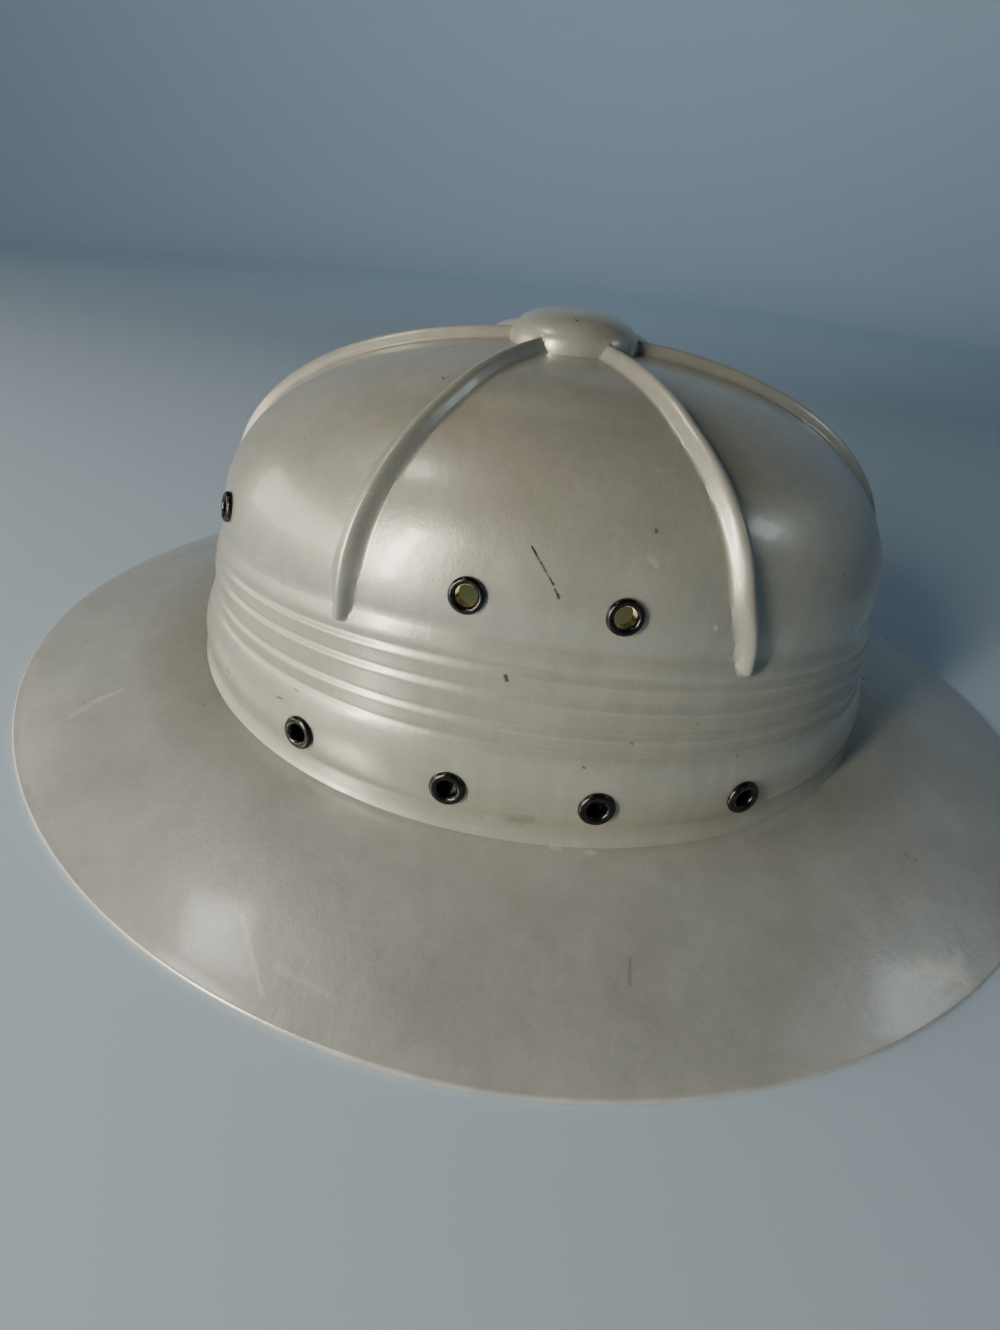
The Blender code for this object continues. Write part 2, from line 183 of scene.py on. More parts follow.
def wornAndShadedTone(tree, p, tone):
    # painted shade and the dusting held in the creases, by the shell's own attribute
    addNode(tree, "crease", "ShaderNodeAttribute", attribute_name="crease")
    addNode(tree, "dustBreak", "ShaderNodeTexNoise", {"Vector": "@spot.Object", "Scale": 1000 / p["shadeAndDustMm"],
            "Detail": 3.0})
    addNode(tree, "dustAmount", "ShaderNodeMapRange", {"Value": "@dustBreak.Fac", "From Min": 0.3,
            "From Max": 0.75, "To Min": p["dustShare"][0], "To Max": p["dustShare"][1]})
    addNode(tree, "dust", "ShaderNodeMath", {0: "@crease.Fac", 1: "@dustAmount.Result"}, operation="MULTIPLY")
    # sparse dark specks, each a small spot at its cell's middle
    addNode(tree, "cells", "ShaderNodeTexVoronoi", {"Vector": "@spot.Object", "Scale": 1000 / p["speckMm"],
            "Randomness": 1.0})
    addNode(tree, "speckSize", "ShaderNodeMapRange", {"Value": "@cells.Distance", "From Min": 0.012,
            "From Max": 0.022, "To Min": p["speckShare"], "To Max": 0.0})
    # hairline scratches: the thin level lines of a stretched noise, only where a coarser noise lets them show
    addNode(tree, "lean", "ShaderNodeMapping", {"Vector": "@spot.Object", "Rotation": (0.5, 0.9, 0.3),
            "Scale": (1.0, 0.16, 1.0)})
    addNode(tree, "hair", "ShaderNodeTexNoise", {"Vector": "@lean", "Scale": 1000 / p["scratchMm"],
            "Detail": 1.0})
    addNode(tree, "hairOff", "ShaderNodeMath", {0: "@hair.Fac", 1: 0.5}, operation="SUBTRACT")
    addNode(tree, "hairAway", "ShaderNodeMath", {0: "@hairOff"}, operation="ABSOLUTE")
    addNode(tree, "hairLine", "ShaderNodeMapRange", {"Value": "@hairAway", "From Min": 0.0, "From Max": 0.006,
            "To Min": 1.0, "To Max": 0.0})
    addNode(tree, "hairWhere", "ShaderNodeTexNoise", {"Vector": "@spot.Object",
            "Scale": 1000 / p["scratchPatchMm"], "Detail": 2.0})
    addNode(tree, "hairGate", "ShaderNodeMapRange", {"Value": "@hairWhere.Fac", "From Min": 0.58,
            "From Max": 0.66})
    addNode(tree, "scratch", "ShaderNodeMath", {0: "@hairLine.Result", 1: "@hairGate.Result"},
            operation="MULTIPLY")
    addNode(tree, "scratchTone", "ShaderNodeMath", {0: "@scratch", 1: p["scratchShare"]},
            operation="MULTIPLY")
    # the rim rubs pale where it is set down
    addNode(tree, "height", "ShaderNodeSeparateXYZ", {0: "@spot.Object"})
    addNode(tree, "low", "ShaderNodeMapRange", {"Value": "@height.Z", "From Min": p["rubFade"][0] * mm,
            "From Max": p["rubFade"][1] * mm, "To Min": 1.0, "To Max": 0.0})
    addNode(tree, "rub", "ShaderNodeTexNoise", {"Vector": "@spot.Object", "Scale": 1000 / p["rubMm"],
            "Detail": 4.0})
    addNode(tree, "rubWhere", "ShaderNodeMapRange", {"Value": "@rub.Fac", "From Min": 0.42, "From Max": 0.62,
            "To Min": p["rubShare"][0], "To Max": p["rubShare"][1]})
    addNode(tree, "rimWear", "ShaderNodeMath", {0: "@low.Result", 1: "@rubWhere.Result"},
            operation="MULTIPLY")
    # painted sheen: the brim drawn paler and bluer, for the light it reflects
    addNode(tree, "brimHigh", "ShaderNodeMapRange", {"Value": "@height.Z", "From Min": p["brimSheenFade"][0] * mm,
            "From Max": p["brimSheenFade"][1] * mm, "To Min": 1.0, "To Max": 0.0})
    addNode(tree, "filmWhere", "ShaderNodeMapRange", {"Value": "@mottle.Fac", "From Min": 0.3,
            "From Max": 0.7, "To Min": p["filmShare"][0], "To Max": p["filmShare"][1]})
    addNode(tree, "film", "ShaderNodeMath", {0: "@brimHigh.Result", 1: "@filmWhere.Result"},
            operation="MULTIPLY")
    # laid over one another in this order, from the painted crease shade to the brim's painted sheen
    for name, share, colour in [("dusty", "@dust", "dirtAndShade"), ("specked", "@speckSize.Result", "speck"),
                                ("scratched", "@scratchTone", "wornAndGlint"), ("rimmed", "@rimWear", "wornAndGlint"),
                                ("filmed", "@film", "film")]:
        addNode(tree, name, "ShaderNodeMix", {0: share, 6: tone, 7: toLinear(p[colour])}, data_type="RGBA")
        tone = f"@{name}.Result"
    return tone


def markedTone(tree, p, tone):
    # each mark is a soft stroke between its two ends, its edge broken by a fine noise
    addNode(tree, "ragged", "ShaderNodeTexNoise", {"Vector": "@spot.Object", "Scale": 1000 / p["raggedMm"],
            "Detail": 3.0})
    addNode(tree, "raggedWide", "ShaderNodeMapRange", {"Value": "@ragged.Fac", "From Min": 0.3,
            "From Max": 0.7, "To Min": 0.6, "To Max": 1.5})
    for number, (start, end, halfWidth, colour, strength) in enumerate(plasticMarks):
        n = f"mark{number}"
        along = Vector(end) - Vector(start)
        addNode(tree, n + "From", "ShaderNodeVectorMath", {0: "@spot.Object", 1: start}, operation="SUBTRACT")
        addNode(tree, n + "Dot", "ShaderNodeVectorMath", {0: f"@{n}From",
                1: tuple(along / along.length_squared)}, operation="DOT_PRODUCT")
        addNode(tree, n + "Share", "ShaderNodeClamp", {"Value": f"@{n}Dot.Value"})
        addNode(tree, n + "Nearest", "ShaderNodeVectorMath", {0: tuple(along), "Scale": f"@{n}Share"},
                operation="SCALE")
        addNode(tree, n + "Gap", "ShaderNodeVectorMath", {0: f"@{n}From", 1: f"@{n}Nearest"},
                operation="DISTANCE")
        addNode(tree, n + "Wide", "ShaderNodeMath", {0: f"@{n}Gap.Value", 1: "@raggedWide.Result"},
                operation="MULTIPLY")
        addNode(tree, n + "Edge", "ShaderNodeMapRange", {"Value": f"@{n}Wide",
                "From Min": 0.4 * mm * halfWidth, "From Max": 1.3 * mm * halfWidth,
                "To Min": strength, "To Max": 0.0})
        addNode(tree, n, "ShaderNodeMix", {0: f"@{n}Edge.Result", 6: tone, 7: toLinear(p[colour])},
                data_type="RGBA")
        tone = f"@{n}.Result"
    return tone


def mouldedPlastic(p):
    # injection-moulded polyethylene: a satin, faintly pearly grey that mirrors lamps as soft patches
    look = bpy.data.materials.new("satinGreyPolyethylene")
    look.use_nodes = True
    tree = look.node_tree
    addNode(tree, "spot", "ShaderNodeTexCoord")
    tone = markedTone(tree, p, wornAndShadedTone(tree, p, mottledTone(tree, p)))
    # gloss: duller in dusted creases and on scratches
    addNode(tree, "glossSpread", "ShaderNodeTexNoise", {"Vector": "@spot.Object",
            "Scale": 1000 / p["glossMm"], "Detail": 6.0, "Roughness": 0.65})
    addNode(tree, "gloss", "ShaderNodeMapRange", {"Value": "@glossSpread.Fac", "From Min": 0.3,
            "From Max": 0.7, "To Min": p["roughness"][0], "To Max": p["roughness"][1]})
    addNode(tree, "dullDust", "ShaderNodeMath", {0: "@dust", 1: 0.5, 2: "@gloss.Result"},
            operation="MULTIPLY_ADD")
    addNode(tree, "dullScratch", "ShaderNodeMath", {0: "@scratch", 1: 0.2, 2: "@dullDust"},
            operation="MULTIPLY_ADD")
    # relief: spark texture, flow streaks, the thin wall's waviness and the scratches
    addNode(tree, "grain", "ShaderNodeTexNoise", {"Vector": "@spot.Object", "Scale": 1000 / p["grainMm"],
            "Detail": 3.0, "Roughness": 0.62, "Distortion": 0.7})
    addNode(tree, "wave", "ShaderNodeTexNoise", {"Vector": "@spot.Object", "Scale": 1000 / p["waveMm"],
            "Detail": 2.0})
    addNode(tree, "grainBump", "ShaderNodeBump", {"Height": "@grain.Fac", "Strength": 0.30,
            "Distance": 0.11 * mm})
    addNode(tree, "streakBump", "ShaderNodeBump", {"Height": "@streak.Fac", "Strength": 0.22,
            "Distance": 0.25 * mm, "Normal": "@grainBump"})
    addNode(tree, "waveBump", "ShaderNodeBump", {"Height": "@wave.Fac", "Strength": 0.35,
            "Distance": 0.7 * mm, "Normal": "@streakBump"})
    addNode(tree, "scratchBump", "ShaderNodeBump", {"Height": "@scratch", "Strength": 0.3,
            "Distance": 0.05 * mm, "Normal": "@waveBump"}, invert=True)
    # the pearl shows less under the brim's painted sheen
    addNode(tree, "pearl", "ShaderNodeMath", {0: "@film", 1: -0.5, 2: p["pearl"]}, operation="MULTIPLY_ADD")
    fillSockets(tree, tree.nodes["Principled BSDF"], {
        "Base Color": tone, "Roughness": "@dullScratch", "Normal": "@scratchBump", "IOR": 1.51,
        "Metallic": "@pearl", "Coat Weight": 0.45, "Coat Roughness": 0.10, "Coat IOR": 1.5})
    return look


enamelLook = {
    "black": "#0B0B0C", "rubbed": "#3A3630", "roughness": (0.15, 0.32),
    "rubMm": 1.11, "peelMm": 0.714,  # rubbed spots and orange peel
}


def blackEnamel(e):
    # stove-enamelled brass: deep glossy black with sharp small highlights, rubbed dull in spots
    look = bpy.data.materials.new("glossBlackEnamel")
    look.use_nodes = True
    tree = look.node_tree
    addNode(tree, "spot", "ShaderNodeTexCoord")
    addNode(tree, "rub", "ShaderNodeTexNoise", {"Vector": "@spot.Object", "Scale": 1000 / e["rubMm"],
            "Detail": 4.0})
    addNode(tree, "rubWhere", "ShaderNodeMapRange", {"Value": "@rub.Fac", "From Min": 0.6, "From Max": 0.72,
            "To Min": 0.0, "To Max": 0.5})
    addNode(tree, "tone", "ShaderNodeMix", {0: "@rubWhere.Result", 6: toLinear(e["black"]),
            7: toLinear(e["rubbed"])}, data_type="RGBA")
    addNode(tree, "gloss", "ShaderNodeMapRange", {"Value": "@rub.Fac", "From Min": 0.3, "From Max": 0.7,
            "To Min": e["roughness"][0], "To Max": e["roughness"][1]})
    addNode(tree, "orangePeel", "ShaderNodeTexNoise", {"Vector": "@spot.Object", "Scale": 1000 / e["peelMm"],
            "Detail": 1.0})
    addNode(tree, "peelBump", "ShaderNodeBump", {"Height": "@orangePeel.Fac", "Strength": 0.15,
            "Distance": 0.08 * mm})
    fillSockets(tree, tree.nodes["Principled BSDF"], {
        "Base Color": "@tone.Result", "Roughness": "@gloss.Result", "Normal": "@peelBump", "IOR": 1.52})
    return look


satinGreyPolyethylene = mouldedPlastic(plasticLook)
glossBlackEnamel = blackEnamel(enamelLook)
print("materials made")


socketKinds = {int: "NodeSocketInt", float: "NodeSocketFloat", bpy.types.Object: "NodeSocketObject",
               bpy.types.Material: "NodeSocketMaterial"}


def startTree(name, kinds):
    # a geometry nodes tree with a geometry input and output, and a named input for each entry of kinds
    tree = bpy.data.node_groups.new(name, "GeometryNodeTree")
    tree.interface.new_socket("Geometry", in_out="INPUT", socket_type="NodeSocketGeometry")
    for key, kind in kinds.items():
        tree.interface.new_socket(key, in_out="INPUT", socket_type=socketKinds[kind])
    tree.interface.new_socket("Geometry", in_out="OUTPUT", socket_type="NodeSocketGeometry")
    addNode(tree, "sizes", "NodeGroupInput")
    return tree


def bakeObject(source, name):
    # the evaluated object as a plain mesh, the source and its modifiers removed
    graph = bpy.context.evaluated_depsgraph_get()
    mesh = bpy.data.meshes.new_from_object(source.evaluated_get(graph), preserve_all_data_layers=True,
                                           depsgraph=graph)
    mesh.name = name
    bpy.data.objects.remove(source)
    return addObject(name, mesh)


def growPiece(source, tree, values, name):
    # runs the tree on the source object and keeps the result as a plain mesh of its own
    modifier = source.modifiers.new(tree.name, "NODES")
    modifier.node_group = tree
    for item in tree.interface.items_tree:
        if item.item_type == "SOCKET" and item.in_out == "INPUT" and item.name in values:
            modifier[item.identifier] = values[item.name]
    return bakeObject(source, name)


shellSizes = {  # millimetres and degrees, but for counts, shares and exponents
    # brimCrease and flareCrease set how far from the base line the crease mask for the plastic's painted
    # shade runs
    "wall": 2.0, "columns": 384,
    # lengths run from front to back, and a corner exponent of 2 is an ellipse
    "brimLength": 340.0, "brimWidth": 282.4, "brimCorner": 1.93, "brimCurve": 1.5, "brimCrease": 1 / 24,
    "lip": 0.9, "lipHeight": 1.0, "lipStart": 75.0, "lipTurn": 165.0, "flat": 1.5,
    "baseLength": 220.4, "baseWidth": 178.8, "baseHeight": 12.7, "baseSaddle": 1.65,
    "flare": 2.0, "flareHeight": 5.0, "flareCrease": 0.2,
    "wallLength": 217.6, "wallTurn": 11.8, "wallBulge": 1.7, "turnDrop": 0.4,
    "underStart": 0.96, "underSet": 0.6, "innerFlare": 2.0, "innerBulge": 1.4, "innerRise": 0.5,
    "bandLength": 210.8, "bandBottom": 23.1, "bandTop": 45.6, "bandSaddle": -5.0,
    "bandStep": 0.4, "bandOver": 1.1, "bandUnder": 0.9,  # its rows, and how far they run past its edges
    # the band's ledges as shares of its height from the bottom, the first being the crown's foot
    "pleatEdges": (1.0, 0.78, 0.54, 0.23, 0.0), "pleatLedge": 1.3, "pleatTaper": -0.3,
    "panelRecess": 2.2, "recessSoftness": 6.0, "ledgeSoftness": 1.8,
    # creaseLead and creaseWidth place that crease mask along each ledge
    "ledgeLead": 0.4, "creaseLead": 0.45, "creaseWidth": 0.9,
    "crownHeight": 98.2, "crownFullness": 2.2, "crownCorner": 2.04, "crownFoot": 14.0, "roundTop": 60.0,
    "buttonDiameter": 35.0, "buttonHeight": 9.0, "buttonEdge": 2.5, "buttonDome": 2.36, "buttonGroove": 0.7,
    "roofRound": 0.9, "sharpFrom": 38.0,
    "ribCount": 6, "ribCrowding": 0.125, "ribSpread": 1.4, "ribLean": 4.6, "leanTop": 64.0,
    "ribWidth": 7.2, "ribTopWidth": 6.2, "ribHeight": 3.0, "ribFullness": 1.6,
    "ribEndShare": 0.74, "ribTaper": 14.4, "ribOverlap": 0.8, "ribSink": 0.72,
    # rows of points along each stretch of the profile
    "rows": {"button": 16, "dome": 38, "crownFoot": 20, "wall": 12, "flare": 7, "brim": 26, "lip": 8,
             "under": 11, "innerFlare": 5, "innerWall": 8, "innerBand": 5, "innerDome": 30, "roof": 6},
}


def easeStep(value):
    value = min(1.0, max(0.0, value))
    return value * value * (3 - 2 * value)


def panelRadius(s):
    # half the crown's length where it stands on the band
    steps = len(s["pleatEdges"]) - 1
    return s["bandLength"] / 2 - steps * (s["pleatLedge"] + s["pleatTaper"]) - s["panelRecess"]


def domeHeight(s, radius):
    share = (radius / panelRadius(s)) ** s["crownFullness"]
    return s["bandTop"] + (s["crownHeight"] - s["bandTop"]) * (1 - share) ** (1 / s["crownFullness"])


def domeAngle(s, radius, inset=0.0):
    return math.acos((radius / (panelRadius(s) - inset)) ** (s["crownFullness"] / 2))


def domePoint(s, angle, inset=0.0, crease=0.0):
    power = 2 / s["crownFullness"]
    return ((panelRadius(s) - inset) * math.cos(angle) ** power,
            s["bandTop"] + (s["crownHeight"] - s["bandTop"] - inset) * math.sin(angle) ** power, crease)


def bandPoint(s, height):
    # radius of the pleated band at a height, and how deep in a ledge's crease that is
    span = s["bandTop"] - s["bandBottom"]
    edges = [s["bandBottom"] + span * share for share in s["pleatEdges"]]
    radius, crease = panelRadius(s), 0.0
    for number, edge in enumerate(edges):
        ledge = s["pleatLedge"] if number else s["panelRecess"]
        softness = s["ledgeSoftness"] if number else s["recessSoftness"]
        radius += ledge * easeStep((edge + s["ledgeLead"] * softness - height) / softness)
        crease = max(crease, 1 - abs(height - edge - s["creaseLead"] * softness) / s["creaseWidth"])
        if number + 1 < len(edges):
            pleat = edge - edges[number + 1]
            radius += s["pleatTaper"] * min(1.0, max(0.0, (edge - height) / pleat))
    return radius, height, crease


def bend(start, control, end, rows):
    # a quadratic curve without its first point
    shares = [row / rows for row in range(1, rows + 1)]
    return [tuple((1 - t) ** 2 * a + 2 * t * (1 - t) * b + t * t * c for a, b, c in zip(start, control, end))
            + (0.0,) for t in shares]


def outerProfile(s):
    # radius, height above the base line and crease, the mask for the plastic's painted shade, from the
    # button's middle down to the brim's edge
    rows, button, base = s["rows"], s["buttonDiameter"] / 2, s["baseLength"] / 2
    buttonFoot = domeHeight(s, button)
    points = []
    for row in range(rows["button"] + 1):
        angle = math.pi / 2 * row / rows["button"]
        crease = {rows["button"]: 1.0, rows["button"] - 1: 0.35}.get(row, 0.0)
        points.append((button * math.sin(angle) ** (2 / s["buttonEdge"]),
                       buttonFoot + s["buttonHeight"] * math.cos(angle) ** (2 / s["buttonDome"]), crease))
    # the dome's rows stand closer at its foot, whose last two give way to the band's
    steep, low = domeAngle(s, button + s["buttonGroove"]), math.radians(s["crownFoot"])
    points.append(domePoint(s, steep, crease=0.6))
    points += [domePoint(s, steep + (low - steep) * row / rows["dome"]) for row in range(1, rows["dome"])]
    points += [domePoint(s, low * (1 - row / rows["crownFoot"])) for row in range(rows["crownFoot"] - 2)]
    bandStart = s["bandTop"] + s["bandOver"]
    bandRows = int((bandStart - s["bandBottom"] + s["bandUnder"]) / s["bandStep"])
    points += [bandPoint(s, bandStart - s["bandStep"] * row) for row in range(bandRows + 1)]
    foot = base - s["flare"]
    points += bend(points[-1][:2], (s["wallLength"] / 2 + s["wallBulge"], s["wallTurn"] - s["turnDrop"]),
                   (foot, s["flareHeight"]), rows["wall"])
    for row in range(1, rows["flare"] + 1):
        rise = 1 - row / rows["flare"]
        points.append((foot + s["flare"] * (1 - rise) ** 2, s["flareHeight"] * rise,
                       1 - rise / s["flareCrease"]))
    fall = s["baseHeight"] - s["wall"]
    reach = s["brimLength"] / 2 - s["lip"] - base
    for row in range(1, rows["brim"] + 1):
        share = row / rows["brim"]
        points.append((base + reach * share, -fall * share ** s["brimCurve"], 1 - share / s["brimCrease"]))
    for row in range(rows["lip"] + 1):
        angle = math.radians(s["lipStart"] - s["lipTurn"] * row / rows["lip"])
        points.append((base + reach + s["lip"] * math.cos(angle),
                       s["lipHeight"] * (1 + math.sin(angle)) - s["baseHeight"], 0.0))
    return points


def innerProfile(s, points):
    # the underside and the inside, a wall's thickness in, up to the middle of the button's roof
    rows, wall, base = s["rows"], s["wall"], s["baseLength"] / 2
    bandRadius, button = s["bandLength"] / 2 - wall, s["buttonDiameter"] / 2 - wall
    fall = s["baseHeight"] - wall
    reach = s["brimLength"] / 2 - s["lip"] - base
    points.append((base + reach - s["flat"], -s["baseHeight"], 0.0))  # the flat that the hat stands on
    for row in range(1, rows["under"] + 1):
        share = s["underStart"] * (1 - row / rows["under"])
        points.append((base + reach * share - s["underSet"], -fall * share ** s["brimCurve"] - wall, 0.0))
    inner = base - s["flare"] - wall
    points += bend(points[-1][:2], (inner, -wall), (inner, s["innerFlare"]), rows["innerFlare"])
    points += bend(points[-1][:2],
                   (s["wallLength"] / 2 - wall + s["innerBulge"], s["wallTurn"] + s["innerRise"]),
                   (bandRadius, s["bandBottom"]), rows["innerWall"])
    for row in range(1, rows["innerBand"]):
        share = row / rows["innerBand"]
        points.append((bandRadius + (panelRadius(s) - wall - bandRadius) * share,
                       s["bandBottom"] + (s["bandTop"] - s["bandBottom"]) * share, 0.0))
    steep = domeAngle(s, button, wall)
    points += [domePoint(s, steep * row / rows["innerDome"], wall) for row in range(rows["innerDome"] + 1)]
    roof = domeHeight(s, s["buttonDiameter"] / 2) + s["buttonHeight"] - wall
    points += bend(points[-1][:2], (button * s["roofRound"], roof), (0.0, roof), rows["roof"])
    return points


def mouldTree(kinds):
    # turns a profile into the oval shell, bends its lines at front and back, and raises the ribs
    tree = startTree("ovalMoulding", kinds)
    scalar, vector, mapRange = "ShaderNodeMath", "ShaderNodeVectorMath", "ShaderNodeMapRange"
    # a grid of one row for each point of the profile, which it looks up by its row
    addNode(tree, "rows", "GeometryNodeAttributeDomainSize", {"Geometry": "@sizes.Geometry"})
    addNode(tree, "grid", "GeometryNodeMeshGrid", {"Size X": 1.0, "Size Y": 1.0,
            "Vertices X": "@sizes.Columns", "Vertices Y": "@rows.Point Count"})
    addNode(tree, "spot", "GeometryNodeInputPosition")
    addNode(tree, "uv", "ShaderNodeSeparateXYZ", {0: "@spot"})
    addNode(tree, "down", scalar, {0: "@uv.Y", 1: 0.5}, operation="ADD")
    addNode(tree, "last", scalar, {0: "@rows.Point Count", 1: 1.0}, operation="SUBTRACT")
    addNode(tree, "row", scalar, {0: "@down", 1: "@last"}, operation="MULTIPLY")
    addNode(tree, "wholeRow", scalar, {0: "@row"}, operation="ROUND")
    addNode(tree, "section", "GeometryNodeSampleIndex", {"Geometry": "@sizes.Geometry", "Value": "@spot",
            "Index": "@wholeRow"}, data_type="FLOAT_VECTOR")
    addNode(tree, "profile", "ShaderNodeSeparateXYZ", {0: "@section"})
    # azimuth, with the columns drawn together at the ribs
    addNode(tree, "round", scalar, {0: "@uv.X", 1: 0.5}, operation="ADD")
    addNode(tree, "even", scalar, {0: "@round", 1: 2 * math.pi}, operation="MULTIPLY")
    addNode(tree, "phase", scalar, {0: "@even", 1: "@sizes.Rib Count"}, operation="MULTIPLY")
    addNode(tree, "wave", scalar, {0: "@phase"}, operation="SINE")
    addNode(tree, "crowd", scalar, {0: "@wave", 1: "@sizes.Rib Crowding"}, operation="MULTIPLY")
    addNode(tree, "ribAngle", scalar, {0: "@even", 1: "@crowd"}, operation="SUBTRACT")
    # the side ribs stand a little closer to the front and the back
    addNode(tree, "twiceRib", scalar, {0: "@ribAngle", 1: 2.0}, operation="MULTIPLY")
    addNode(tree, "spreadWave", scalar, {0: "@twiceRib"}, operation="SINE")
    addNode(tree, "spreadBy", scalar, {0: "@spreadWave", 1: "@sizes.Rib Spread"}, operation="MULTIPLY")
    addNode(tree, "spreadAngle", scalar, {0: "@ribAngle", 1: "@spreadBy"}, operation="SUBTRACT")
    # and the rear ones lean a little further back at their feet
    addNode(tree, "rearward", scalar, {0: "@ribAngle"}, operation="COSINE")
    addNode(tree, "rearOnly", scalar, {0: "@rearward", 1: 0.0}, operation="MINIMUM")
    addNode(tree, "sideward", scalar, {0: "@ribAngle"}, operation="SINE")
    addNode(tree, "rearSide", scalar, {0: "@rearOnly", 1: "@sideward"}, operation="MULTIPLY")
    addNode(tree, "leanFade", mapRange, {"Value": "@profile.Y", "From Min": "@sizes.Band Top",
            "From Max": "@sizes.Lean Top", "To Min": "@sizes.Rib Lean", "To Max": 0.0},
            interpolation_type="SMOOTHSTEP")
    addNode(tree, "leanBy", scalar, {0: "@rearSide", 1: "@leanFade.Result"}, operation="MULTIPLY")
    addNode(tree, "azimuth", scalar, {0: "@spreadAngle", 1: "@leanBy"}, operation="SUBTRACT")
    # width share and corner exponent by radius: round at the button, oval below, wider again at the brim
    addNode(tree, "crownEase", mapRange, {"Value": "@profile.X", "From Min": "@sizes.Button Radius",
            "From Max": "@sizes.Round Top", "To Min": 1.0, "To Max": "@sizes.Crown Share"})
    addNode(tree, "spread", scalar, {0: "@sizes.Brim Share", 1: "@sizes.Crown Share"}, operation="SUBTRACT")
    addNode(tree, "brimEase", mapRange, {"Value": "@profile.X", "From Min": "@sizes.Base Radius",
            "From Max": "@sizes.Brim Radius", "To Min": 0.0, "To Max": "@spread"})
    addNode(tree, "share", scalar, {0: "@crownEase", 1: "@brimEase"}, operation="ADD")
    addNode(tree, "corner", mapRange, {"Value": "@profile.X", "From Min": "@sizes.Base Radius",
            "From Max": "@sizes.Brim Radius", "To Min": "@sizes.Crown Corner",
            "To Max": "@sizes.Brim Corner"})
    # the oval: (|sin|^corner + |cos|^corner)^(-1/corner) times the profile's radius
    addNode(tree, "sinAzimuth", scalar, {0: "@azimuth"}, operation="SINE")
    addNode(tree, "cosAzimuth", scalar, {0: "@azimuth"}, operation="COSINE")
    addNode(tree, "sinWide", scalar, {0: "@sinAzimuth", 1: "@share"}, operation="DIVIDE")
    addNode(tree, "turn", scalar, {0: "@sinWide", 1: "@cosAzimuth"}, operation="ARCTAN2")
    addNode(tree, "sinTurn", scalar, {0: "@turn"}, operation="SINE")
    addNode(tree, "cosTurn", scalar, {0: "@turn"}, operation="COSINE")
    addNode(tree, "sinSize", scalar, {0: "@sinTurn"}, operation="ABSOLUTE")
    addNode(tree, "cosSize", scalar, {0: "@cosTurn"}, operation="ABSOLUTE")
    addNode(tree, "sinPower", scalar, {0: "@sinSize", 1: "@corner"}, operation="POWER")
    addNode(tree, "cosPower", scalar, {0: "@cosSize", 1: "@corner"}, operation="POWER")
    addNode(tree, "powerSum", scalar, {0: "@sinPower", 1: "@cosPower"}, operation="ADD")
    addNode(tree, "root", scalar, {0: -1.0, 1: "@corner"}, operation="DIVIDE")
    addNode(tree, "swell", scalar, {0: "@powerSum", 1: "@root"}, operation="POWER")
    addNode(tree, "reach", scalar, {0: "@profile.X", 1: "@swell"}, operation="MULTIPLY")
    addNode(tree, "sideways", scalar, {0: "@reach", 1: "@share"}, operation="MULTIPLY")
    addNode(tree, "x", scalar, {0: "@sideways", 1: "@sinTurn"}, operation="MULTIPLY")
    addNode(tree, "forward", scalar, {0: "@reach", 1: "@cosTurn"}, operation="MULTIPLY")
    addNode(tree, "y", scalar, {0: "@forward", 1: -1.0}, operation="MULTIPLY")
    # the saddle: lines rise or dip at front and back, not at the brim's edge or the crown's top
    addNode(tree, "bandRise", mapRange, {"Value": "@profile.Y", "From Min": 0.0,
            "From Max": "@sizes.Band Top", "To Min": "@sizes.Base Saddle", "To Max": "@sizes.Band Saddle"})
    addNode(tree, "topFade", mapRange, {"Value": "@profile.Y", "From Min": "@sizes.Band Top",
            "From Max": "@sizes.Crown Top", "To Min": 1.0, "To Max": 0.0})
    addNode(tree, "footFade", mapRange, {"Value": "@profile.Y", "From Min": "@sizes.Brim Fall",
            "From Max": 0.0, "To Min": 0.0, "To Max": 1.0})
    addNode(tree, "fades", scalar, {0: "@topFade", 1: "@footFade"}, operation="MULTIPLY")
    addNode(tree, "rise", scalar, {0: "@bandRise", 1: "@fades"}, operation="MULTIPLY")
    addNode(tree, "twice", scalar, {0: "@turn", 1: 2.0}, operation="MULTIPLY")
    addNode(tree, "saddleWave", scalar, {0: "@twice"}, operation="COSINE")
    addNode(tree, "saddle", scalar, {0: "@rise", 1: "@saddleWave", 2: "@profile.Y"}, operation="MULTIPLY_ADD")
    addNode(tree, "z", scalar, {0: "@saddle", 1: "@sizes.Base Height"}, operation="ADD")
    addNode(tree, "plain", "ShaderNodeCombineXYZ", {"X": "@x", "Y": "@y", "Z": "@z"})
